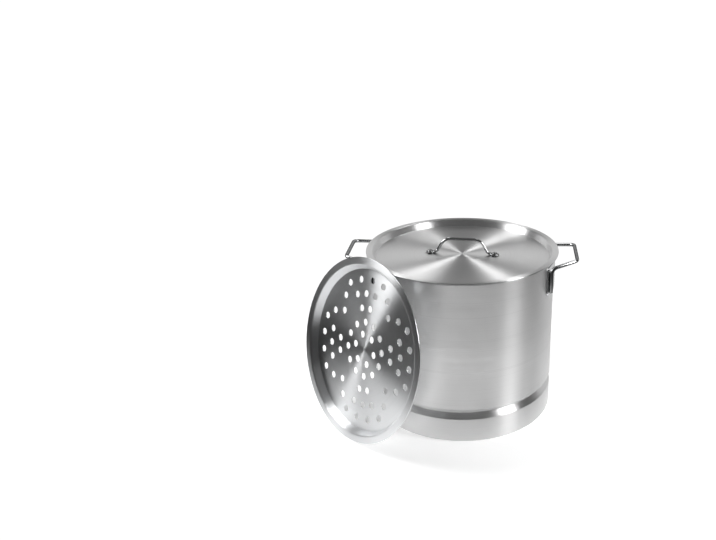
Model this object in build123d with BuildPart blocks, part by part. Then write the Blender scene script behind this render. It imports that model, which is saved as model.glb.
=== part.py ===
from build123d import *
from math import asin, cos, degrees, hypot, radians, sin, sqrt
import os

# Steamer pot: a spun aluminium pot with a rolled-in ledge, a lid with a wire handle,
# two riveted wire side handles, and a perforated steamer plate leaning against the pot.
# The frame: origin at the centre of the pot's underside, +Z up, side handles along X.

# Pot
pot_radius = 126.6
pot_height = 231.0
wall_thickness = 1.2
base_corner_radius = 4.5
rim_bead_radius = 2.0
ledge_foot_height = 35.2
ledge_lower_flank_height = 8.2
ledge_upper_flank_height = 6.9
ledge_depth = 7.0
ledge_edge_radius = 2.6
ledge_valley_radius = 2.2

# Side handles: a bent wire loop on a curved bracket, held by four rivets
wire_diameter = 5.0
handle_reach = 29.6
grip_half_width = 31.5
grip_drop = 3.0
arm_root_drop = 9.5
leg_half_spacing = 48.0
leg_length = 34.5
wire_bend_radius = 8.5
wire_end_rounding = 1.2

bracket_thickness = 1.4
bracket_drop = 7.0
bracket_height = 41.0
bracket_side_margin = 4.0
bracket_corner_radius = 5.0
seat_gap = 0.05

rivet_leg_spacing = 8.5
rivet_drop = 25.0
rivet_row_spacing = 16.0
rivet_shank_radius = 2.4
rivet_head_radius = 4.0
rivet_head_height = 2.3
rivet_tail_radius = 3.8
rivet_tail_height = 1.0
rivet_tail_gap = 0.12
rivet_gap = 0.05

# Lid
lid_overhang = 5.9
lid_sheet = 1.0
lid_edge_bead_radius = 0.8
lid_flange_width = 7.8
lid_slope_width = 4.6
lid_recess_depth = 9.0
lid_bend_radius = 1.8
lid_seat_gap = 0.3
lid_turn = -4.5

# Lid handle
lid_rod_diameter = 4.0
lid_handle_height = 23.2
lid_handle_leg_half_width = 35.5
lid_handle_leg_splay = 10.3
lid_rod_bend_radius = 16.0
lid_rod_foot_bend_radius = 5.0
lid_rod_foot_run = 3.2
lid_foot_lap = 2.0
lid_foot_length = 17.5
lid_foot_width = 10.0
lid_foot_thickness = 1.9
lid_rivet_offset = 9.5
lid_rivet_head_radius = 3.9
lid_rivet_head_height = 2.4

# Steamer plate
plate_side_gap = 1.4
plate_sheet = 1.2
plate_flange_width = 9.5
plate_slope_width = 5.5
plate_recess_depth = 10.0
plate_bend_radius = 1.8
plate_hole_diameter = 9.0
plate_heading = 45.0
plate_lean = 14.0
plate_lean_gap = 0.2
plate_side_shift = 25.0

# Rings of holes: the ring's radius as a share of the plate's, how many fans of holes
# it has, and the angles of the holes in one fan
hole_ring_shares = [
    (0.165, 6, [-15.0]),
    (0.295, 12, [0.0]),
    (0.447, 4, [-9.0, 9.0]),
    (0.542, 4, [45.0]),
    (0.605, 4, [-15.0, 0.0, 15.0]),
    (0.664, 4, [33.5, 56.5]),
    (0.758, 4, [-22.5, -7.5, 7.5, 22.5]),
]
hole_pattern_turn = 11.4

cut_overrun = 10.0

# Places worked out from the sizes above
wall_inner_radius = pot_radius - wall_thickness
valley_height = ledge_foot_height + ledge_lower_flank_height
ledge_top_height = valley_height + ledge_upper_flank_height
rim_bead_outer_radius = wall_inner_radius + 2 * rim_bead_radius
rim_bead_height = pot_height - rim_bead_radius

wire_radius = wire_diameter / 2
bracket_inner_radius = pot_radius + seat_gap
bracket_outer_radius = bracket_inner_radius + bracket_thickness
bracket_half_width = leg_half_spacing + bracket_side_margin
leg_line_radius = bracket_outer_radius + seat_gap + wire_radius
leg_x = sqrt(leg_line_radius**2 - leg_half_spacing**2)
grip_x = pot_radius + handle_reach
grip_height = pot_height - grip_drop
arm_root_height = pot_height - arm_root_drop
leg_end_height = arm_root_height - leg_length
bracket_middle_height = pot_height - bracket_drop - bracket_height / 2
rivet_heights = [pot_height - rivet_drop, pot_height - rivet_drop - rivet_row_spacing]
rivet_angle = degrees(asin((leg_half_spacing - rivet_leg_spacing) / pot_radius))

lid_radius = pot_radius + lid_overhang
lid_underside = pot_height + lid_seat_gap
lid_top = lid_underside + lid_sheet
lid_disc_top = lid_top - lid_recess_depth
lid_rod_radius = lid_rod_diameter / 2
lid_plane = Plane.XY.rotated((0, 0, lid_turn))
lid_handle_top_half_width = lid_handle_leg_half_width - lid_handle_leg_splay
lid_rod_end_half_width = lid_handle_leg_half_width + lid_rod_foot_run
lid_foot_middle = lid_handle_leg_half_width - lid_foot_lap + lid_foot_length / 2
lid_rivet_half_spacing = lid_handle_leg_half_width + lid_rivet_offset

plate_radius = wall_inner_radius - plate_side_gap
plate_disc_radius = plate_radius - plate_flange_width - plate_slope_width
lean = radians(plate_lean)
heading = radians(plate_heading)


def plate_back_depth(radius):
    """How far the plate's back lies behind the front of its flange at this radius."""
    slope_share = (radius - plate_disc_radius) / plate_slope_width
    return plate_sheet + plate_recess_depth * (1 - min(max(slope_share, 0), 1))


def foot_distance_at(x, y, z):
    """How far out the plate's foot stands when its back just meets this point."""
    reach = -x * sin(heading) - y * cos(heading)
    side = x * cos(heading) - y * sin(heading) + plate_side_shift
    depth = plate_sheet
    for correction in range(8):
        rise = (z + (depth - plate_sheet) * sin(lean)) / cos(lean)
        radius = hypot(side, rise - plate_radius)
        depth = plate_back_depth(radius)
    if radius > plate_radius:
        return 0
    return reach + rise * sin(lean) + depth * cos(lean)


def ring_distance(ring_radius, height):
    """The same for the side of a ring on the pot's axis that faces the plate."""
    turns = [heading + radians(turn) for turn in range(-60, 61)]
    return max(
        foot_distance_at(-ring_radius * sin(turn), -ring_radius * cos(turn), height)
        for turn in turns
    )


def arm_distance(share):
    """The same for a point part of the way along the left handle's front arm."""
    return foot_distance_at(
        -leg_x - share * (grip_x - leg_x) - wire_radius * sin(heading),
        -leg_half_spacing + share * (leg_half_spacing - grip_half_width) - wire_radius * cos(heading),
        arm_root_height + share * (grip_height - arm_root_height),
    )


# The plate leans on whichever it meets first: the wall, the rim bead, the lid or the handle
plate_foot_distance = plate_lean_gap + max(
    max(ring_distance(pot_radius, pot_height * step / 460) for step in range(460)),
    ring_distance(rim_bead_outer_radius, rim_bead_height),
    ring_distance(lid_radius, lid_underside),
    ring_distance(lid_radius, lid_top),
    max(arm_distance(step / 10) for step in range(11)),
)
plate_normal = Vector(-sin(heading) * cos(lean), -cos(heading) * cos(lean), sin(lean))
plate_across = Vector(cos(heading), -sin(heading), 0)
plate_foot = Vector(
    -plate_foot_distance * sin(heading) - plate_side_shift * cos(heading),
    -plate_foot_distance * cos(heading) + plate_side_shift * sin(heading),
    plate_sheet * sin(lean),
)
plate_centre = plate_foot + plate_normal.cross(plate_across) * plate_radius
plate_plane = Plane(origin=plate_centre, x_dir=plate_across, z_dir=plate_normal)
plate_section_plane = Plane(
    origin=plate_centre, x_dir=plate_across, z_dir=plate_across.cross(plate_normal)
)


def side_plane(angle, height):
    """A plane on the pot's axis whose normal points out along a rivet."""
    return Plane(
        origin=(0, 0, height),
        x_dir=(-sin(radians(angle)), cos(radians(angle)), 0),
        z_dir=(cos(radians(angle)), sin(radians(angle)), 0),
    )


def make_rivet(grip, tail_gap, head_radius, head_height):
    """One rivet along +Z: tail below z = 0, shank through the grip, domed head above it."""
    dome_radius = (head_radius**2 + head_height**2) / (2 * head_height)
    half_way = asin(head_radius / dome_radius) / 2
    dome_middle = (dome_radius * sin(half_way), grip + head_height - dome_radius * (1 - cos(half_way)))
    with BuildPart() as rivet:
        with BuildSketch(Plane.XZ):
            with BuildLine():
                Polyline(
                    (0, grip + head_height),
                    (0, -tail_gap - rivet_tail_height),
                    (rivet_tail_radius, -tail_gap - rivet_tail_height),
                    (rivet_tail_radius, -tail_gap),
                    (rivet_shank_radius, -tail_gap),
                    (rivet_shank_radius, grip),
                    (head_radius, grip),
                )
                ThreePointArc((head_radius, grip), dome_middle, (0, grip + head_height))
            make_face()
        revolve(axis=Axis.Z)
    return rivet


def save(piece, name):
    piece.part.label = name
    export_step(piece.part, f"parts/{name}.step")


os.makedirs("parts", exist_ok=True)

side_grip = wall_thickness + bracket_thickness + 2 * seat_gap
side_rivet = make_rivet(side_grip, rivet_tail_gap, rivet_head_radius, rivet_head_height)
lid_grip = lid_sheet + lid_foot_thickness + 2 * seat_gap
lid_rivet = make_rivet(lid_grip, seat_gap, lid_rivet_head_radius, lid_rivet_head_height)

# The pot's shell: base, wall, rolled-in ledge and rim bead in one sheet
with BuildPart() as pot_shell:
    with BuildSketch(Plane.XZ):
        with BuildLine():
            FilletPolyline(
                (0, 0),
                (pot_radius, 0),
                (pot_radius, ledge_foot_height),
                (pot_radius - ledge_depth, valley_height),
                (pot_radius, ledge_top_height),
                (pot_radius, rim_bead_height),
                radius=[
                    base_corner_radius,
                    ledge_edge_radius,
                    ledge_valley_radius,
                    ledge_edge_radius,
                ],
            )
            offset(amount=wall_thickness, side=Side.LEFT)
        make_face()
        with Locations((wall_inner_radius + rim_bead_radius, rim_bead_height)):
            Circle(rim_bead_radius)
    revolve(axis=Axis.Z)
    for side_angle in (0, 180):
        for rivet_side in (-rivet_angle, rivet_angle):
            for height in rivet_heights:
                with BuildSketch(side_plane(side_angle + rivet_side, height)):
                    Circle(rivet_shank_radius + rivet_gap)
                extrude(amount=pot_radius + cut_overrun, mode=Mode.SUBTRACT)
save(pot_shell, "pot_shell")

# The side handles: bracket, wire loop and rivets, once for each side
for side_name, side in (("right", 1), ("left", -1)):
    side_angle = 0 if side == 1 else 180

    with BuildPart() as bracket:
        with BuildSketch(Plane.YZ):
            with Locations((0, bracket_middle_height)):
                RectangleRounded(2 * bracket_half_width, bracket_height, bracket_corner_radius)
        extrude(amount=side * (pot_radius + cut_overrun))
        with BuildSketch():
            Circle(bracket_outer_radius)
            Circle(bracket_inner_radius, mode=Mode.SUBTRACT)
        extrude(amount=pot_height, mode=Mode.INTERSECT)
        for rivet_side in (-rivet_angle, rivet_angle):
            for height in rivet_heights:
                with BuildSketch(side_plane(side_angle + rivet_side, height)):
                    Circle(rivet_shank_radius + rivet_gap)
                extrude(amount=pot_radius + cut_overrun, mode=Mode.SUBTRACT)
    save(bracket, f"{side_name}_handle_bracket")

    with BuildPart() as wire_loop:
        with BuildLine() as wire_path:
            FilletPolyline(
                (side * leg_x, -leg_half_spacing, leg_end_height),
                (side * leg_x, -leg_half_spacing, arm_root_height),
                (side * grip_x, -grip_half_width, grip_height),
                (side * grip_x, grip_half_width, grip_height),
                (side * leg_x, leg_half_spacing, arm_root_height),
                (side * leg_x, leg_half_spacing, leg_end_height),
                radius=wire_bend_radius,
            )
        with BuildSketch(Plane(origin=wire_path.line @ 0, z_dir=wire_path.line % 0)):
            Circle(wire_radius)
        sweep()
        fillet(wire_loop.faces().group_by(Axis.Z)[0].edges(), radius=wire_end_rounding)
    save(wire_loop, f"{side_name}_handle_loop")

    with BuildPart() as rivets:
        for rivet_side in (-rivet_angle, rivet_angle):
            for height in rivet_heights:
                seat_plane = side_plane(side_angle + rivet_side, height).offset(wall_inner_radius)
                with Locations(seat_plane):
                    add(side_rivet.part)
    save(rivets, f"{side_name}_handle_rivets")

# The lid's shell: flange with an edge bead, slope and recessed disc
with BuildPart() as lid_shell:
    with BuildSketch(Plane.XZ):
        with BuildLine():
            FilletPolyline(
                (0, lid_disc_top - lid_sheet),
                (lid_radius - lid_flange_width - lid_slope_width, lid_disc_top - lid_sheet),
                (lid_radius - lid_flange_width, lid_underside),
                (lid_radius - lid_edge_bead_radius, lid_underside),
                radius=lid_bend_radius,
            )
            offset(amount=lid_sheet, side=Side.LEFT)
        make_face()
        with Locations((lid_radius - lid_edge_bead_radius, lid_top - lid_edge_bead_radius)):
            Circle(lid_edge_bead_radius)
    revolve(axis=Axis.Z)
    with BuildSketch(lid_plane.offset(lid_disc_top + cut_overrun)):
        with Locations((-lid_rivet_half_spacing, 0), (lid_rivet_half_spacing, 0)):
            Circle(rivet_shank_radius + rivet_gap)
    extrude(amount=-lid_sheet - 2 * cut_overrun, mode=Mode.SUBTRACT)
save(lid_shell, "lid_shell")

# The lid's handle: a bent rod between two flattened feet
foot_bottom = lid_disc_top + seat_gap
rod_foot_height = foot_bottom + lid_rod_radius
rod_top_height = lid_disc_top + lid_handle_height - lid_rod_radius
with BuildPart() as lid_handle:
    with BuildLine() as rod_path:
        FilletPolyline(
            [
                lid_plane.from_local_coords(point)
                for point in (
                    (-lid_rod_end_half_width, 0, rod_foot_height),
                    (-lid_handle_leg_half_width, 0, rod_foot_height),
                    (-lid_handle_top_half_width, 0, rod_top_height),
                    (lid_handle_top_half_width, 0, rod_top_height),
                    (lid_handle_leg_half_width, 0, rod_foot_height),
                    (lid_rod_end_half_width, 0, rod_foot_height),
                )
            ],
            radius=[
                lid_rod_foot_bend_radius,
                lid_rod_bend_radius,
                lid_rod_bend_radius,
                lid_rod_foot_bend_radius,
            ],
        )
    with BuildSketch(Plane(origin=rod_path.line @ 0, z_dir=rod_path.line % 0)):
        Circle(lid_rod_radius)
    sweep()
    with Locations(rod_path.line @ 0, rod_path.line @ 1):
        Sphere(lid_rod_radius)
    with BuildSketch(lid_plane.offset(foot_bottom)):
        for side in (-1, 1):
            with Locations((side * lid_foot_middle, 0)):
                SlotOverall(lid_foot_length, lid_foot_width)
    extrude(amount=lid_foot_thickness)
    with BuildSketch(lid_plane.offset(foot_bottom)):
        with Locations((-lid_rivet_half_spacing, 0), (lid_rivet_half_spacing, 0)):
            Circle(rivet_shank_radius + rivet_gap)
    extrude(amount=lid_handle_height, mode=Mode.SUBTRACT)
save(lid_handle, "lid_handle")

# The lid's two rivets
with BuildPart() as lid_rivets:
    for side in (-1, 1):
        with Locations(lid_plane.offset(lid_disc_top - lid_sheet) * Pos(side * lid_rivet_half_spacing, 0)):
            add(lid_rivet.part)
save(lid_rivets, "lid_rivets")

# The steamer plate: flange, slope and recessed disc with its rings of holes
with BuildPart() as steamer_plate:
    with BuildSketch(plate_section_plane):
        with BuildLine():
            FilletPolyline(
                (0, -plate_recess_depth - plate_sheet),
                (plate_disc_radius, -plate_recess_depth - plate_sheet),
                (plate_radius - plate_flange_width, -plate_sheet),
                (plate_radius, -plate_sheet),
                radius=plate_bend_radius,
            )
            offset(amount=plate_sheet, side=Side.LEFT)
        make_face()
    revolve(axis=Axis(plate_centre, plate_normal))
    with BuildSketch(plate_plane):
        for ring_share, fan_count, fan_angles in hole_ring_shares:
            for fan in range(fan_count):
                for fan_angle in fan_angles:
                    angle = radians(hole_pattern_turn + fan * 360 / fan_count + fan_angle)
                    ring_radius = plate_radius * ring_share
                    with Locations((ring_radius * cos(angle), ring_radius * sin(angle))):
                        Circle(plate_hole_diameter / 2)
    extrude(amount=-plate_recess_depth - cut_overrun, mode=Mode.SUBTRACT)
save(steamer_plate, "steamer_plate")
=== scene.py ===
from math import acos, asin, atan2, ceil, cos, pi, radians, sin, sqrt, tan

import bmesh
import bpy
from mathutils import Matrix, Vector


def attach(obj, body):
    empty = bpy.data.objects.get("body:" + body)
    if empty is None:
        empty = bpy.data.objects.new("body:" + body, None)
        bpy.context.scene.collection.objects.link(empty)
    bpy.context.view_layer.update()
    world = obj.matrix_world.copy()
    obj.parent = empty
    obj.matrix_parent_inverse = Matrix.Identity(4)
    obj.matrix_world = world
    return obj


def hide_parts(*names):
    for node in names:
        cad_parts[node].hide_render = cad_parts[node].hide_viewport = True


# A steamer pot with its lid on and its steamer plate leaning against it: finer meshes of the solids
# in the frame, in the same places and sizes, with their finishes and a small studio

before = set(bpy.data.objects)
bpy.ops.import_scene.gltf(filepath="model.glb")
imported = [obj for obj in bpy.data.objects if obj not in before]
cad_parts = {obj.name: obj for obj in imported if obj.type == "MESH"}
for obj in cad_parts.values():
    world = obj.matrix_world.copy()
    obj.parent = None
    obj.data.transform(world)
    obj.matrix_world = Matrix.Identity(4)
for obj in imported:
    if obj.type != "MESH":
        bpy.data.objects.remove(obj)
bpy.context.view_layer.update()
mm = 0.001
fewestBendSteps = 3
print("frame loaded with", len(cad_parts), "nodes")


def leftOf(direction):
    return Vector((-direction.y, direction.x))


# A section's line of straight runs with round bends: points, each with its left-hand normal
def roundedLine(corners, bends, bendStep=radians(7)):
    corners = [Vector(corner) for corner in corners]
    line = [(corners[0], leftOf((corners[1] - corners[0]).normalized()))]
    for before, corner, after, bend in zip(corners, corners[1:], corners[2:], bends):
        comingIn = (corner - before).normalized()
        goingOut = (after - corner).normalized()
        turn = atan2(comingIn.x * goingOut.y - comingIn.y * goingOut.x, comingIn.dot(goingOut))
        side = 1 if turn > 0 else -1
        start = corner - comingIn * bend * tan(abs(turn) / 2)
        middle = start + leftOf(comingIn) * side * bend
        steps = max(fewestBendSteps, ceil(abs(turn) / bendStep))
        for step in range(steps + 1):
            normal = leftOf(Matrix.Rotation(turn * step / steps, 2) @ comingIn)
            line.append((middle - normal * side * bend, normal))
    line.append((corners[-1], leftOf((corners[-1] - corners[-2]).normalized())))
    return line


# The line's points moved to its left
def shifted(line, distance):
    return [point + normal * distance for point, normal in line]


# A sheet's section: along one face, round the bead at its edge and back along the other face
def beadedSection(line, sheet, bead):
    return shifted(line, 0)[:-1] + bead + shifted(line, sheet)[:-1][::-1]


def arcPoints(middle, radius, startAngle, endAngle, steps):
    angles = [startAngle + (endAngle - startAngle) * step / steps for step in range(steps + 1)]
    return [Vector(middle) + Vector((cos(angle), sin(angle))) * radius for angle in angles]


def circleAngles(sides):
    return [2 * pi * side / sides for side in range(sides)]


# Adds a spun shape to a mesh: the outline turns round the local Z axis
def addSpun(mesh, outline, segments, place=Matrix.Identity(4)):
    onAxis = 1e-7
    rings = []
    for point in outline:
        if point.x < onAxis:
            rings.append([mesh.verts.new(place @ Vector((0, 0, point.y)))])
        else:
            rings.append([
                mesh.verts.new(place @ Vector((point.x * cos(angle), point.x * sin(angle), point.y)))
                for angle in circleAngles(segments)
            ])
    for low, high in zip(rings, rings[1:]):
        for here in range(segments):
            there = (here + 1) % segments
            corners = [
                low[here % len(low)],
                low[there % len(low)],
                high[there % len(high)],
                high[here % len(high)],
            ]
            # where a ring is one point on the axis, two corners are the same
            corners = list(dict.fromkeys(corners))
            if len(corners) > 2:
                mesh.faces.new(corners)


# A smooth piece from a finished mesh: it rides its body and stands for its nodes
def makePiece(name, mesh, finish, body, nodes, place=None, sharpAngle=None):
    bmesh.ops.recalc_face_normals(mesh, faces=mesh.faces)
    for face in mesh.faces:
        face.smooth = True
    data = bpy.data.meshes.new(name)
    mesh.to_mesh(data)
    mesh.free()
    if sharpAngle:
        data.set_sharp_from_angle(angle=sharpAngle)
    piece = bpy.data.objects.new(name, data)
    bpy.context.scene.collection.objects.link(piece)
    if place:
        piece.matrix_world = place
    data.materials.append(finish)
    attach(piece, body)
    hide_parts(*nodes)
    return piece


# Shader node helpers: each adds a node, sets its values and wires its inputs
def addNode(tree, kind, values=None, inputs=None):
    node = tree.nodes.new(kind)
    for key, value in (values or {}).items():
        setattr(node, key, value)
    for key, value in (inputs or {}).items():
        if isinstance(value, bpy.types.NodeSocket):
            tree.links.new(value, node.inputs[key])
        else:
            node.inputs[key].default_value = value
    return node


def addMath(tree, operation, first, second):
    return addNode(tree, "ShaderNodeMath", {"operation": operation}, {0: first, 1: second}).outputs[0]


def addVectorMath(tree, operation, first, second=(0, 0, 0)):
    node = addNode(tree, "ShaderNodeVectorMath", {"operation": operation}, {0: first, 1: second})
    return node.outputs["Value" if operation == "LENGTH" else "Vector"]


def addNoise(tree, spot, scale, detail, distortion=0.0):
    node = addNode(tree, "ShaderNodeTexNoise", inputs={
        "Vector": spot, "Scale": scale, "Detail": detail, "Distortion": distortion})
    return node.outputs["Fac"]


# Runs from low to high while the value crosses its span, a start and an end
def addRun(tree, value, span, low=0.0, high=1.0, interpolation="LINEAR"):
    node = addNode(tree, "ShaderNodeMapRange", {"interpolation_type": interpolation}, {
        "Value": value, "From Min": span[0], "From Max": span[1], "To Min": low, "To Max": high})
    return node.outputs["Result"]


# The same with soft ends
def addSoftRun(tree, value, span, low=0.0, high=1.0):
    return addRun(tree, value, span, low, high, "SMOOTHSTEP")


def addBlend(tree, share, low, high):
    return addRun(tree, share, (0.0, 1.0), low, high)


def grey(level, warmth=0.0):
    return (level * (1 + warmth), level, level * (1 - warmth), 1)


# The metal's colour, from its dark tone to its light one while the value crosses its span
def addTone(tree, value, span, look):
    ramp = addNode(tree, "ShaderNodeValToRGB", inputs={"Fac": value})
    for stop, position, tone in zip(ramp.color_ramp.elements, span, ("darkTone", "lightTone")):
        stop.position = position
        stop.color = grey(look[tone], look["warmth"])
    return ramp.outputs["Color"]


def newFinish(name):
    finish = bpy.data.materials.new(name)
    finish.use_nodes = True
    finish.node_tree.nodes.clear()
    return finish, finish.node_tree


# What all spun finishes share
spinning = {
    "driftScale": 9.0,
    "smearScale": 17.0,
    "ringSpan": (0.3, 0.7),
    "smearSpan": (0.35, 0.75),
    "smearRough": (-0.012, 0.02),
    "toneSpan": (0.6, 14 / 15),
    "lineDepth": 0.04 * mm,
    "ringDepth": 0.25 * mm,
    "sheenTurn": 0.25,  # a quarter turn, so the highlights stretch across the lines
}


# Spun aluminium: fine lathe lines round the axis, broader tool rings, faint smears and handling marks
def spunFinish(name, look):
    finish, tree = newFinish(name)
    place = addNode(tree, "ShaderNodeTexCoord").outputs["Object"]
    split = addNode(tree, "ShaderNodeSeparateXYZ", inputs={0: place}).outputs
    flat = addNode(tree, "ShaderNodeCombineXYZ", inputs={"X": split["X"], "Y": split["Y"]}).outputs[0]
    reach = addVectorMath(tree, "LENGTH", flat)
    ringSpot = addNode(tree, "ShaderNodeCombineXYZ", inputs={"X": reach, "Y": split["Z"]}).outputs[0]
    # a slow change round the axis keeps the rings from being perfect circles
    drift = addNoise(tree, place, spinning["driftScale"], detail=1.0)
    driftSize = addMath(tree, "MULTIPLY", drift, look["lineDrift"])
    driftSpot = addNode(tree, "ShaderNodeCombineXYZ", inputs={"Z": driftSize}).outputs[0]
    lineSpot = addVectorMath(tree, "ADD", ringSpot, driftSpot)
    fineLines = addNoise(tree, lineSpot, look["fineLineScale"], detail=3.0)
    toolRings = addNoise(tree, lineSpot, look["toolRingScale"], detail=2.0)
    smears = addNoise(tree, place, spinning["smearScale"], detail=4.0)

    ringRough = addRun(tree, toolRings, spinning["ringSpan"], look["roughLow"], look["roughHigh"])
    smearRough = addRun(tree, smears, spinning["smearSpan"], *spinning["smearRough"])
    lineTone = addMath(tree, "ADD", fineLines, toolRings)
    lineBump = addNode(tree, "ShaderNodeBump", inputs={
        "Height": fineLines, "Strength": look["lineStrength"], "Distance": spinning["lineDepth"]})
    ringBump = addNode(tree, "ShaderNodeBump", inputs={
        "Height": toolRings, "Strength": look["ringStrength"], "Distance": spinning["ringDepth"],
        "Normal": lineBump.outputs[0]})
    spinWay = addNode(tree, "ShaderNodeTangent", {"direction_type": "RADIAL", "axis": "Z"})
    shader = addNode(tree, "ShaderNodeBsdfPrincipled", inputs={
        "Base Color": addTone(tree, lineTone, spinning["toneSpan"], look),
        "Metallic": 1.0,
        "Roughness": addMath(tree, "ADD", ringRough, smearRough),
        "Normal": ringBump.outputs[0],
        "Tangent": spinWay.outputs[0],
        "Anisotropic": look["anisotropy"],
        "Anisotropic Rotation": spinning["sheenTurn"],
    })
    addNode(tree, "ShaderNodeOutputMaterial", inputs={"Surface": shader.outputs["BSDF"]})
    return finish


# What all polished finishes share
polishing = {
    "hazeScale": 140.0,
    "hazeSpan": (0.35, 0.75),
    "toneSpan": (0.3, 0.8),
    "markScale": 900.0,
    "markDistortion": 1.5,
    "markDepth": 0.02 * mm,
}


# Polished metal: bright, with polishing haze and hairline marks
def polishedFinish(name, look):
    finish, tree = newFinish(name)
    place = addNode(tree, "ShaderNodeTexCoord").outputs["Object"]
    haze = addNoise(tree, place, polishing["hazeScale"], detail=5.0)
    marks = addNoise(tree, place, polishing["markScale"], detail=2.0, distortion=polishing["markDistortion"])
    bump = addNode(tree, "ShaderNodeBump", inputs={
        "Height": marks, "Strength": look["markStrength"], "Distance": polishing["markDepth"]})
    shader = addNode(tree, "ShaderNodeBsdfPrincipled", inputs={
        "Base Color": addTone(tree, haze, polishing["toneSpan"], look),
        "Metallic": 1.0,
        "Roughness": addRun(tree, haze, polishing["hazeSpan"], look["roughLow"], look["roughHigh"]),
        "Normal": bump.outputs[0],
        # the specular tint darkens the metal towards its grazing edges: painted dark edge reflections,
        # strong on the wire and rivets, faint on the brackets
        "Specular Tint": grey(look["paintedEdgeShade"]),
    })
    addNode(tree, "ShaderNodeOutputMaterial", inputs={"Surface": shader.outputs["BSDF"]})
    return finish


finishes = {
    "pot": spunFinish("potSpunAluminium", {
        "fineLineScale": 1900.0, "toolRingScale": 150.0, "lineDrift": 0.4 * mm,
        "lineStrength": 0.25, "ringStrength": 0.07, "anisotropy": 0.95,
        "roughLow": 0.325, "roughHigh": 0.395,
        "darkTone": 0.62, "lightTone": 0.71, "warmth": 0.0,
    }),
    "lid": spunFinish("lidSpunAluminium", {
        "fineLineScale": 1900.0, "toolRingScale": 260.0, "lineDrift": 0.3 * mm,
        "lineStrength": 0.2, "ringStrength": 0.04, "anisotropy": 0.97,
        "roughLow": 0.35, "roughHigh": 0.38,
        "darkTone": 0.64, "lightTone": 0.69, "warmth": 0.0,
    }),
    "plate": spunFinish("plateSpunAluminium", {
        "fineLineScale": 1900.0, "toolRingScale": 240.0, "lineDrift": 0.3 * mm,
        "lineStrength": 0.12, "ringStrength": 0.02, "anisotropy": 0.95,
        "roughLow": 0.32, "roughHigh": 0.335,
        "darkTone": 0.70, "lightTone": 0.73, "warmth": -0.012,
    }),
    "wire": polishedFinish("handleChrome", {
        "roughLow": 0.05, "roughHigh": 0.11, "markStrength": 0.12,
        "darkTone": 0.44, "lightTone": 0.56, "paintedEdgeShade": 0.10, "warmth": -0.01,
    }),
    "bracket": polishedFinish("bracketPlating", {
        "roughLow": 0.14, "roughHigh": 0.24, "markStrength": 0.2,
        "darkTone": 0.74, "lightTone": 0.84, "paintedEdgeShade": 0.9, "warmth": -0.01,
    }),
    "rivet": polishedFinish("rivetSteel", {
        "roughLow": 0.16, "roughHigh": 0.28, "markStrength": 0.3,
        "darkTone": 0.30, "lightTone": 0.42, "paintedEdgeShade": 0.20, "warmth": -0.01,
    }),
}
print("finishes ready:", ", ".join(finishes))


pot = {
    "radius": 126.6 * mm,
    "height": 231.0 * mm,
    "sheet": 1.2 * mm,
    "baseBend": 4.5 * mm,
    "rimBeadRadius": 2.0 * mm,
    "ledgeFootHeight": 35.2 * mm,
    "valleyHeight": 43.4 * mm,
    "ledgeTopHeight": 50.3 * mm,
    "ledgeDepth": 7.0 * mm,
    "ledgeBend": 2.6 * mm,
    "valleyBend": 2.2 * mm,
    "beadSteps": 22,
    "segments": 320,
}


# The pot's shell: base, ledge, wall and rolled rim as one spun sheet
def buildPotShell():
    beadHeight = pot["height"] - pot["rimBeadRadius"]
    beadMiddle = pot["radius"] - pot["sheet"] + pot["rimBeadRadius"]
    line = roundedLine(
        [
            (0, 0),
            (pot["radius"], 0),
            (pot["radius"], pot["ledgeFootHeight"]),
            (pot["radius"] - pot["ledgeDepth"], pot["valleyHeight"]),
            (pot["radius"], pot["ledgeTopHeight"]),
            (pot["radius"], beadHeight),
        ],
        [pot["baseBend"], pot["ledgeBend"], pot["valleyBend"], pot["ledgeBend"]],
    )
    # the bead begins where it meets the outside face
    beadStart = -pi + acos((beadMiddle - pot["radius"]) / pot["rimBeadRadius"])
    bead = arcPoints((beadMiddle, beadHeight), pot["rimBeadRadius"], beadStart, pi, pot["beadSteps"])
    mesh = bmesh.new()
    addSpun(mesh, beadedSection(line, pot["sheet"], bead), pot["segments"])
    return makePiece("potShell", mesh, finishes["pot"], "pot", ["pot_shell"])


lid = {
    "overhang": 5.9 * mm,  # beyond the pot's wall
    "sheet": 1.0 * mm,
    "edgeBeadRadius": 0.8 * mm,
    "flangeWidth": 7.8 * mm,
    "slopeWidth": 4.6 * mm,
    "recessDepth": 9.0 * mm,
    "bend": 1.8 * mm,
    "seatGap": 0.3 * mm,
    "beadSteps": 14,
    "segments": 320,
}
lidUnderside = pot["height"] + lid["seatGap"]
lidTop = lidUnderside + lid["sheet"]
lidDiscTop = lidTop - lid["recessDepth"]
lidDiscUnderside = lidDiscTop - lid["sheet"]


# The lid's shell: recessed disc, slope, flange and a small rolled edge
def buildLidShell():
    radius = pot["radius"] + lid["overhang"]
    slopeTop = radius - lid["flangeWidth"]
    beadMiddle = radius - lid["edgeBeadRadius"]
    line = roundedLine(
        [
            (0, lidDiscUnderside),
            (slopeTop - lid["slopeWidth"], lidDiscUnderside),
            (slopeTop, lidUnderside),
            (beadMiddle, lidUnderside),
        ],
        [lid["bend"], lid["bend"]],
    )
    # the bead begins where it meets the underside
    beadHeight = lidTop - lid["edgeBeadRadius"]
    beadStart = -pi + asin((beadHeight - lidUnderside) / lid["edgeBeadRadius"])
    bead = arcPoints((beadMiddle, beadHeight), lid["edgeBeadRadius"], beadStart, pi / 2, lid["beadSteps"])
    mesh = bmesh.new()
    addSpun(mesh, beadedSection(line, lid["sheet"], bead), lid["segments"])
    return makePiece("lidShell", mesh, finishes["lid"], "lid", ["lid_shell"])


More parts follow.
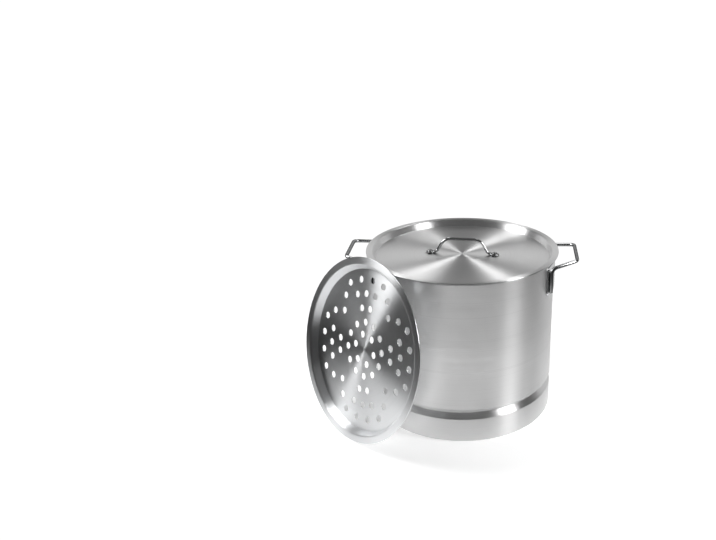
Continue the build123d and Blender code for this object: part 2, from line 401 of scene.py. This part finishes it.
plate = {
    "sideGap": 1.4 * mm,  # inside the pot's wall, where the plate sits in use
    "sheet": 1.2 * mm,
    "flangeWidth": 9.5 * mm,
    "slopeWidth": 5.5 * mm,
    "recessDepth": 10.0 * mm,
    "bend": 1.8 * mm,
    "holeRadius": 4.5 * mm,
    "holeSides": 28,
    "clearedShare": 1.12,  # of a hole's radius, cleared of the disc's own cells
    "edgeRounding": 0.2 * mm,
    "edgeSegments": 2,
    "edgeAngle": radians(50),
    "heading": radians(45.0),
    "lean": radians(14.0),
    "footDistance": 193.44 * mm,  # from the pot's axis, so that the plate leans on the rim
    "sideShift": 25.0 * mm,
    "patternTurn": radians(11.4),
    "gridStep": 2.3 * mm,
    "segments": 288,
    # ring radius as a share of the plate's, fans round the ring, turns of the holes in one fan
    "ringShares": [
        (0.165, 6, [-15.0]),
        (0.295, 12, [0.0]),
        (0.447, 4, [-9.0, 9.0]),
        (0.542, 4, [45.0]),
        (0.605, 4, [-15.0, 0.0, 15.0]),
        (0.664, 4, [33.5, 56.5]),
        (0.758, 4, [-22.5, -7.5, 7.5, 22.5]),
    ],
}
plateRadius = pot["radius"] - pot["sheet"] - plate["sideGap"]


# Where the plate leans: its own axes and its middle, with its foot on the ground
def platePlace():
    heading, lean = plate["heading"], plate["lean"]
    facing = Vector((-sin(heading) * cos(lean), -cos(heading) * cos(lean), sin(lean)))
    across = Vector((cos(heading), -sin(heading), 0))
    upward = facing.cross(across)
    outward = Vector((-sin(heading), -cos(heading), 0))
    foot = outward * plate["footDistance"] - across * plate["sideShift"]
    middle = foot + Vector((0, 0, plate["sheet"] * sin(lean))) + upward * plateRadius
    return Matrix.Translation(middle) @ Matrix((across, upward, facing)).transposed().to_4x4()


# The middles of the steam holes, ring by ring
def plateHoles():
    for share, fans, turns in plate["ringShares"]:
        for fan in range(fans):
            for turn in turns:
                angle = plate["patternTurn"] + radians(turn + fan * 360 / fans)
                yield Vector((cos(angle), sin(angle))) * plateRadius * share


# The steamer plate: a spun sheet with round holes punched through its disc
def buildSteamerPlate():
    slopeTop = plateRadius - plate["flangeWidth"]
    discEdge = slopeTop - plate["slopeWidth"]
    discBack = -plate["recessDepth"] - plate["sheet"]
    line = roundedLine(
        [(0, discBack), (discEdge, discBack), (slopeTop, -plate["sheet"]), (plateRadius, -plate["sheet"])],
        [plate["bend"], plate["bend"]],
    )
    front = shifted(line, plate["sheet"])
    discFront = front[0].y
    # the disc gets rings of its own, so that cells stay small round the holes
    rings = ceil(front[1].x / plate["gridStep"])
    disc = [Vector((front[1].x * ring / rings, discFront)) for ring in range(rings)]
    mesh = bmesh.new()
    addSpun(mesh, disc + front[1:], plate["segments"])
    holes = list(plateHoles())
    radius = plate["holeRadius"]
    cleared = radius * plate["clearedShare"]
    near = [vert for vert in mesh.verts if any((vert.co.xy - hole).length < cleared for hole in holes)]
    bmesh.ops.delete(mesh, geom=near, context="VERTS")
    rim = [edge for edge in mesh.edges if edge.is_boundary and edge.verts[0].co.xy.length < discEdge]
    for hole in holes:
        ring = [
            mesh.verts.new((hole.x + radius * cos(angle), hole.y + radius * sin(angle), discFront))
            for angle in circleAngles(plate["holeSides"])
        ]
        rim += [mesh.edges.new((ring[side - 1], ring[side])) for side in range(len(ring))]
    bmesh.ops.triangle_fill(mesh, edges=rim, use_beauty=True, normal=(0, 0, 1))
    piece = makePiece("steamerPlate", mesh, finishes["plate"], "steamer_plate_body",
                      ["steamer_plate"], platePlace())
    thick = piece.modifiers.new("sheet", "SOLIDIFY")
    thick.thickness = plate["sheet"]
    thick.offset = -1
    thick.use_even_offset = True
    broken = piece.modifiers.new("edges", "BEVEL")
    broken.width = plate["edgeRounding"]
    broken.segments = plate["edgeSegments"]
    broken.limit_method = "ANGLE"
    broken.angle_limit = plate["edgeAngle"]
    broken.harden_normals = True
    return piece


# Adds a bar to a mesh: rings of the given half width and half height, set along a path
def addBar(mesh, stations, sides):
    rings = []
    for middle, along, across, halfWidth, halfHeight in stations:
        upward = along.cross(across).normalized()
        rings.append([
            mesh.verts.new(middle + across * halfWidth * cos(angle) + upward * halfHeight * sin(angle))
            for angle in circleAngles(sides)
        ])
    for low, high in zip(rings, rings[1:]):
        for side in range(sides):
            mesh.faces.new((low[side - 1], low[side], high[side], high[side - 1]))
    mesh.faces.new(rings[0][::-1])
    mesh.faces.new(rings[-1])


# Points and directions along straight runs joined by round bends
def bentPath(corners, bends, bendStep=radians(8)):
    path = [(corners[0], (corners[1] - corners[0]).normalized())]
    for before, corner, after, bend in zip(corners, corners[1:], corners[2:], bends):
        comingIn = (corner - before).normalized()
        goingOut = (after - corner).normalized()
        turn = comingIn.angle(goingOut)
        axis = comingIn.cross(goingOut).normalized()
        start = corner - comingIn * bend * tan(turn / 2)
        middle = start + axis.cross(comingIn) * bend
        steps = max(fewestBendSteps, ceil(turn / bendStep))
        for step in range(steps + 1):
            spin = Matrix.Rotation(turn * step / steps, 3, axis)
            path.append((middle + spin @ (start - middle), spin @ comingIn))
    path.append((corners[-1], (corners[-1] - corners[-2]).normalized()))
    return path


# Carries a sideways direction along a path without twist
def carried(path, across):
    placed = []
    for middle, along in path:
        across = (across - along * across.dot(along)).normalized()
        placed.append((middle, along, across))
    return placed


sideHandle = {
    "wireRadius": 2.5 * mm,
    "reach": 29.6 * mm,  # from the pot's wall to the middle of the grip
    "gripHalfWidth": 31.5 * mm,
    "gripDrop": 3.0 * mm,  # below the pot's rim, as is the next
    "armRootDrop": 9.5 * mm,
    "legHalfSpacing": 48.0 * mm,
    "legLength": 34.5 * mm,
    "bend": 8.5 * mm,
    "bracketThickness": 1.4 * mm,
    "seatGap": 0.05 * mm,
    "endRounding": 1.2 * mm,
    "endRings": 4,
    "endQuarter": 4.4,  # steps in the end's quarter turn: the last ring stops short and leaves a flat
    "sides": 28,
}


# A wire's round end: rings that shrink towards the tip
def roundedEnd(station, outward):
    middle, along, across = station
    radius, rounding = sideHandle["wireRadius"], sideHandle["endRounding"]
    rings = []
    for step in range(1, sideHandle["endRings"] + 1):
        angle = radians(90) * step / sideHandle["endQuarter"]
        half = radius - rounding + rounding * cos(angle)
        rings.append((middle + along * outward * rounding * (sin(angle) - 1), along, across, half, half))
    return rings


# One bent wire loop: two legs down the bracket, two arms and the grip
def buildHandleLoop(sideName, side):
    radius, rounding = sideHandle["wireRadius"], sideHandle["endRounding"]
    half, grip = sideHandle["legHalfSpacing"], sideHandle["gripHalfWidth"]
    legLine = pot["radius"] + 2 * sideHandle["seatGap"] + sideHandle["bracketThickness"] + radius
    legOut = side * sqrt(legLine ** 2 - half ** 2)
    gripOut = side * (pot["radius"] + sideHandle["reach"])
    gripHeight = pot["height"] - sideHandle["gripDrop"]
    armRoot = pot["height"] - sideHandle["armRootDrop"]
    legEnd = armRoot - sideHandle["legLength"]
    corners = [
        Vector((legOut, -half, legEnd)),
        Vector((legOut, -half, armRoot)),
        Vector((gripOut, -grip, gripHeight)),
        Vector((gripOut, grip, gripHeight)),
        Vector((legOut, half, armRoot)),
        Vector((legOut, half, legEnd)),
    ]
    bends = [sideHandle["bend"]] * 4
    path = carried(bentPath(corners, bends), Vector((0, 1, 0)))
    wire = [[middle, along, across, radius, radius] for middle, along, across in path]
    # the straight wire stops where its round ends begin
    wire[0][0] = wire[0][0] + wire[0][1] * rounding
    wire[-1][0] = wire[-1][0] - wire[-1][1] * rounding
    mesh = bmesh.new()
    addBar(mesh, roundedEnd(path[0], -1)[::-1] + wire + roundedEnd(path[-1], 1), sideHandle["sides"])
    return makePiece(sideName + "HandleLoop", mesh, finishes["wire"], "pot",
                     [sideName + "_handle_loop"])


# The brackets keep their own shape and get a plated finish, duller and lighter than the wire's
def dressBrackets():
    for sideName in ("right", "left"):
        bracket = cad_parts[sideName + "_handle_bracket"]
        bracket.data.materials.clear()
        bracket.data.materials.append(finishes["bracket"])


rivet = {
    "shankRadius": 2.4 * mm,
    "headRadius": 4.0 * mm,
    "headHeight": 2.3 * mm,
    "lidHeadRadius": 3.9 * mm,
    "lidHeadHeight": 2.4 * mm,
    "rimHeight": 0.35 * mm,
    "rimSoftShare": 0.4,
    "dimpleRadius": 1.1 * mm,
    "dimpleDepth": 0.18 * mm,
    "tailRadius": 3.8 * mm,
    "tailHeight": 1.0 * mm,
    "tailSoftShare": 0.45,
    "sideTailGap": 0.12 * mm,
    "legSpacing": 8.5 * mm,  # from the wire's leg in towards the bracket's middle
    "drop": 25.0 * mm,  # from the pot's rim to the upper row
    "rowSpacing": 16.0 * mm,
    "domeSteps": 14,
    "tailSteps": 5,
    "sharpAngle": radians(40),
    "segments": 40,
}


# Half a rivet's section: domed head with a rim and the set tool's dimple, shank, pressed tail
def rivetOutline(headRadius, headHeight, grip, tailGap):
    domeHeight = headHeight - rivet["rimHeight"]
    domeRadius = (headRadius ** 2 + domeHeight ** 2) / (2 * domeHeight)
    outline = []
    for step in range(rivet["domeSteps"] + 1):
        reach = headRadius * step / rivet["domeSteps"]
        fall = domeRadius - sqrt(domeRadius ** 2 - reach ** 2)
        dip = max(0.0, 1 - (reach / rivet["dimpleRadius"]) ** 2)
        outline.append((reach, grip + headHeight - fall - rivet["dimpleDepth"] * dip))
    rimSoft = rivet["rimHeight"] * rivet["rimSoftShare"]
    outline += [
        (headRadius, grip + rimSoft),
        (headRadius - rimSoft, grip),
        (rivet["shankRadius"], grip),
        (rivet["shankRadius"], -tailGap),
        (rivet["tailRadius"], -tailGap),
    ]
    tailSoft = rivet["tailHeight"] * rivet["tailSoftShare"]
    tailEnd = -tailGap - rivet["tailHeight"]
    for step in range(1, rivet["tailSteps"] + 1):
        angle = radians(90) * step / rivet["tailSteps"]
        outline.append((
            rivet["tailRadius"] - tailSoft + tailSoft * cos(angle),
            tailEnd + tailSoft - tailSoft * sin(angle),
        ))
    outline.append((0, tailEnd))
    return [Vector(point) for point in outline]


# Four rivets through a bracket and the wall, two rows of two
def buildSideRivets(sideName, side):
    sideTurn = 0 if side > 0 else pi
    turn = asin((sideHandle["legHalfSpacing"] - rivet["legSpacing"]) / pot["radius"])
    upperRow = pot["height"] - rivet["drop"]
    grip = pot["sheet"] + sideHandle["bracketThickness"] + 2 * sideHandle["seatGap"]
    outline = rivetOutline(rivet["headRadius"], rivet["headHeight"], grip, rivet["sideTailGap"])
    upward = Vector((0, 0, 1))
    mesh = bmesh.new()
    for angle in (sideTurn - turn, sideTurn + turn):
        outward = Vector((cos(angle), sin(angle), 0))
        along = Vector((-sin(angle), cos(angle), 0))
        turned = Matrix((along, upward, outward)).transposed().to_4x4()
        for height in (upperRow, upperRow - rivet["rowSpacing"]):
            seat = outward * (pot["radius"] - pot["sheet"]) + upward * height
            addSpun(mesh, outline, rivet["segments"], Matrix.Translation(seat) @ turned)
    return makePiece(sideName + "HandleRivets", mesh, finishes["rivet"], "pot",
                     [sideName + "_handle_rivets"], sharpAngle=rivet["sharpAngle"])


lidHandle = {
    "turn": radians(-4.5),  # round the pot's axis, away from the side handles' line
    "rodRadius": 2.0 * mm,
    "height": 23.2 * mm,
    "topHalfWidth": 25.2 * mm,
    "legHalfWidth": 35.5 * mm,
    "bend": 16.0 * mm,
    "footBend": 5.0 * mm,
    "footRun": 3.2 * mm,
    "footEnd": 51.0 * mm,
    "footHalfWidth": 5.0 * mm,
    "footThickness": 1.9 * mm,
    "footSteps": 32,
    "flattenRun": 3.0 * mm,
    "tipShare": 0.03,  # of the foot's width, left at its very tip
    "tipThinning": 0.35,
    "rivetOffset": 9.5 * mm,  # from the leg out to the rivet
    "seatGap": 0.05 * mm,
    "sides": 28,
}
lidHandleWay = Vector((cos(lidHandle["turn"]), sin(lidHandle["turn"]), 0))


# The lid's handle: a bent rod whose ends are pressed flat and rounded for the rivets
def buildLidHandle():
    way = lidHandleWay
    sideways = Vector((-way.y, way.x, 0))
    radius, half = lidHandle["rodRadius"], lidHandle["legHalfWidth"]
    rodEnd, footEnd = half + lidHandle["footRun"], lidHandle["footEnd"]
    footBottom = lidDiscTop + lidHandle["seatGap"]
    rodFoot = footBottom + radius
    rodTop = lidDiscTop + lidHandle["height"] - radius
    shape = [(-rodEnd, rodFoot), (-half, rodFoot), (-lidHandle["topHalfWidth"], rodTop)]
    shape += [(-along, up) for along, up in shape[::-1]]
    corners = [way * along + Vector((0, 0, up)) for along, up in shape]
    bends = [lidHandle["footBend"], lidHandle["bend"], lidHandle["bend"], lidHandle["footBend"]]
    rod = [(middle, along, sideways, radius, radius) for middle, along in bentPath(corners, bends)]

    # from the round rod out to the flat foot's tip
    def pressedFoot(side):
        footHalf, flatHalf = lidHandle["footHalfWidth"], lidHandle["footThickness"] / 2
        stations = []
        for step in range(1, lidHandle["footSteps"] + 1):
            reach = rodEnd + (footEnd - rodEnd) * step / lidHandle["footSteps"]
            press = min(1, (reach - rodEnd) / lidHandle["flattenRun"])
            press = press * press * (3 - 2 * press)  # soft at both ends
            tip = max(0.0, reach - (footEnd - footHalf)) / footHalf
            roundness = sqrt(max(0.0, 1 - tip * tip)) * (1 - lidHandle["tipShare"]) + lidHandle["tipShare"]
            width = (radius + (footHalf - radius) * press) * roundness
            height = radius + (flatHalf - radius) * press
            middle = way * side * reach + Vector((0, 0, footBottom + height))
            stations.append((middle, way, sideways, width, height * (1 - lidHandle["tipThinning"] * tip)))
        return stations

    mesh = bmesh.new()
    addBar(mesh, pressedFoot(-1)[::-1] + rod + pressedFoot(1), lidHandle["sides"])
    return makePiece("lidHandle", mesh, finishes["wire"], "lid", ["lid_handle"])


# Two rivets through the lid handle's feet and the lid's disc
def buildLidRivets():
    grip = lid["sheet"] + lidHandle["footThickness"] + 2 * lidHandle["seatGap"]
    outline = rivetOutline(rivet["lidHeadRadius"], rivet["lidHeadHeight"], grip, lidHandle["seatGap"])
    halfSpacing = lidHandle["legHalfWidth"] + lidHandle["rivetOffset"]
    mesh = bmesh.new()
    for side in (-1, 1):
        seat = lidHandleWay * side * halfSpacing + Vector((0, 0, lidDiscUnderside))
        addSpun(mesh, outline, rivet["segments"], Matrix.Translation(seat))
    return makePiece("lidRivets", mesh, finishes["rivet"], "lid", ["lid_rivets"],
                     sharpAngle=rivet["sharpAngle"])


buildPotShell()
print("pot shell built")
for sideName, side in (("right", 1), ("left", -1)):
    buildHandleLoop(sideName, side)
    buildSideRivets(sideName, side)
dressBrackets()
print("side handles built")
buildLidShell()
buildLidHandle()
buildLidRivets()
print("lid built")
buildSteamerPlate()
print("steamer plate built")


studio = {
    "cameraSpot": (0.05616, -1.07157, 0.62542),
    "cameraTurn": (radians(68.319), 0, radians(3.0)),
    "lens": 41.6,
    "sensorWidth": 36,
    "shift": -0.1457,
    "floorRadius": 1.6,
    "floorSides": 96,
    "floorMiddle": (-0.09, 0.02),
    "floorDrop": 0.2 * mm,
    "floorTone": 0.92,
    "floorFade": (0.25, 0.62),  # distances from the floor's middle, as the glow's
    "floorGlow": 0.58,
    "floorGlowFade": (0.14, 0.52),
    "floorLift": 0.42,
    # a painted contact shadow on the floor: a fixed spot between the plate's foot and the pot where the
    # camera's lift is lower
    "paintedShadowMiddle": (-0.135, -0.062),
    "paintedShadowFade": (0.03, 0.07),
    "paintedShadowLift": 0.17,
    # how bright the surroundings are for the camera, then for the metal by direction
    "background": 1.05,
    "frontLevel": 0.04,
    "leftLevel": 0.03,
    "backLevel": 0.78,
    "ceilingLevel": 0.17,
    "belowFrontLevel": 0.06,
    "belowBackLevel": 0.7,
    # where one level gives way to the next, as shares of the direction east, north or up
    "leftSpan": (-0.8, -0.3),
    "rightSpan": (-0.1, 0.4),
    "backSpan": (0.22, 0.57),
    "backTopSpan": (0.36, 0.62),
    "ceilingSpan": (0.45, 0.85),
    "horizonSpan": (-0.04, 0.0),
    "boxes": [
        # name, middle, aim, width and height, watts
        ("rightSoftbox", (0.60, -0.31, 0.51), (0.0, -0.02, 0.14), (0.22, 0.36), 3.3),
        ("topRightSoftbox", (0.19, 0.40, 0.80), (0.0, 0.0, 0.22), (0.20, 0.16), 0.42),
        ("topLeftSoftbox", (-0.33, 0.47, 1.06), (0.0, 0.0, 0.22), (0.26, 0.20), 0.85),
        ("leftSoftbox", (-0.62, -0.05, 0.60), (0.0, -0.02, 0.16), (0.34, 0.36), 4.05),
    ],
}


def buildCamera():
    data = bpy.data.cameras.new("camera")
    data.lens = studio["lens"]
    data.sensor_width = studio["sensorWidth"]
    data.shift_x = studio["shift"]
    camera = bpy.data.objects.new("camera", data)
    camera.location = studio["cameraSpot"]
    camera.rotation_euler = studio["cameraTurn"]
    bpy.context.scene.collection.objects.link(camera)
    bpy.context.scene.camera = camera


# The floor's pale finish: it glows near the pot for the metal, has a lift of its own for the camera
# and fades into the white surroundings
def floorFinish():
    finish, tree = newFinish("paleFloor")
    place = addNode(tree, "ShaderNodeTexCoord").outputs["Object"]
    reach = addVectorMath(tree, "LENGTH", place)
    fade = addSoftRun(tree, reach, studio["floorFade"])
    feltLift = addSoftRun(tree, reach, studio["floorGlowFade"], studio["floorGlow"], 0.0)
    # a painted contact shadow: the camera's lift is weaker in a fixed spot in the gap between the plate's
    # foot and the pot
    fromPaintedShadow = [middle - shade for middle, shade in zip(studio["floorMiddle"], studio["paintedShadowMiddle"])]
    paintedShadowReach = addVectorMath(tree, "LENGTH", addVectorMath(tree, "ADD", place, (*fromPaintedShadow, 0)))
    seenLift = addSoftRun(tree, paintedShadowReach, studio["paintedShadowFade"], studio["paintedShadowLift"], studio["floorLift"])
    seen = addNode(tree, "ShaderNodeLightPath").outputs["Is Camera Ray"]
    glow = addNode(tree, "ShaderNodeEmission", inputs={"Strength": addBlend(tree, seen, feltLift, seenLift)})
    pale = addNode(tree, "ShaderNodeBsdfDiffuse", inputs={"Color": grey(studio["floorTone"])})
    bright = addNode(tree, "ShaderNodeAddShader", inputs={0: pale.outputs[0], 1: glow.outputs[0]})
    clear = addNode(tree, "ShaderNodeBsdfTransparent")
    mixed = addNode(tree, "ShaderNodeMixShader", inputs={0: fade, 1: bright.outputs[0], 2: clear.outputs[0]})
    addNode(tree, "ShaderNodeOutputMaterial", inputs={"Surface": mixed.outputs[0]})
    return finish


def buildFloor():
    mesh = bmesh.new()
    bmesh.ops.create_circle(mesh, cap_ends=True, segments=studio["floorSides"], radius=studio["floorRadius"])
    data = bpy.data.meshes.new("floor")
    mesh.to_mesh(data)
    mesh.free()
    data.materials.append(floorFinish())
    floor = bpy.data.objects.new("floor", data)
    floor.location = (*studio["floorMiddle"], -studio["floorDrop"])
    bpy.context.scene.collection.objects.link(floor)


# Surroundings: white for the camera. For the metal they are bright behind and below at the back
# right, dim overhead, and dark in front and on the left
def buildSurroundings():
    world = bpy.data.worlds.new("surroundings")
    world.use_nodes = True
    bpy.context.scene.world = world
    tree = world.node_tree
    tree.nodes.clear()

    way = addNode(tree, "ShaderNodeTexCoord").outputs["Generated"]
    up = addNode(tree, "ShaderNodeSeparateXYZ", inputs={0: way}).outputs["Z"]
    compass = addVectorMath(tree, "NORMALIZE", addVectorMath(tree, "MULTIPLY", way, (1, 1, 0)))
    compassSplit = addNode(tree, "ShaderNodeSeparateXYZ", inputs={0: compass}).outputs
    east, north = compassSplit["X"], compassSplit["Y"]

    front, ceiling, below = studio["frontLevel"], studio["ceilingLevel"], studio["belowFrontLevel"]
    back = addSoftRun(tree, north, studio["backSpan"])
    left = addSoftRun(tree, east, studio["leftSpan"], 1.0, 0.0)
    right = addSoftRun(tree, east, studio["rightSpan"])
    overhead = addSoftRun(tree, up, studio["ceilingSpan"])
    overBack = addSoftRun(tree, up, studio["backTopSpan"])
    horizon = addSoftRun(tree, up, studio["horizonSpan"])

    low = addBlend(tree, back, addBlend(tree, left, front, studio["leftLevel"]), studio["backLevel"])
    sides = addBlend(tree, overhead, low, ceiling)
    above = addBlend(tree, back, sides, addBlend(tree, overBack, sides, ceiling))
    ground = addBlend(tree, right, below, addBlend(tree, back, below, studio["belowBackLevel"]))
    felt = addBlend(tree, horizon, ground, above)
    feltSky = addNode(tree, "ShaderNodeBackground", inputs={"Color": grey(1), "Strength": felt})
    seenSky = addNode(tree, "ShaderNodeBackground", inputs={
        "Color": grey(1), "Strength": studio["background"]})
    seen = addNode(tree, "ShaderNodeLightPath").outputs["Is Camera Ray"]
    mixed = addNode(tree, "ShaderNodeMixShader", inputs={
        0: seen, 1: feltSky.outputs[0], 2: seenSky.outputs[0]})
    addNode(tree, "ShaderNodeOutputWorld", inputs={"Surface": mixed.outputs[0]})


# Area lights, each turned to face its aim
def buildSoftboxes():
    for name, middle, aimSpot, size, watts in studio["boxes"]:
        data = bpy.data.lights.new(name, "AREA")
        data.shape = "RECTANGLE"
        data.size, data.size_y = size
        data.energy = watts
        box = bpy.data.objects.new(name, data)
        box.location = middle
        aim = Vector(aimSpot) - Vector(middle)
        box.rotation_euler = aim.to_track_quat("-Z", "Y").to_euler()
        bpy.context.scene.collection.objects.link(box)


buildCamera()
buildFloor()
buildSurroundings()
buildSoftboxes()
bpy.context.scene.view_settings.view_transform = "Standard"
print("studio ready")
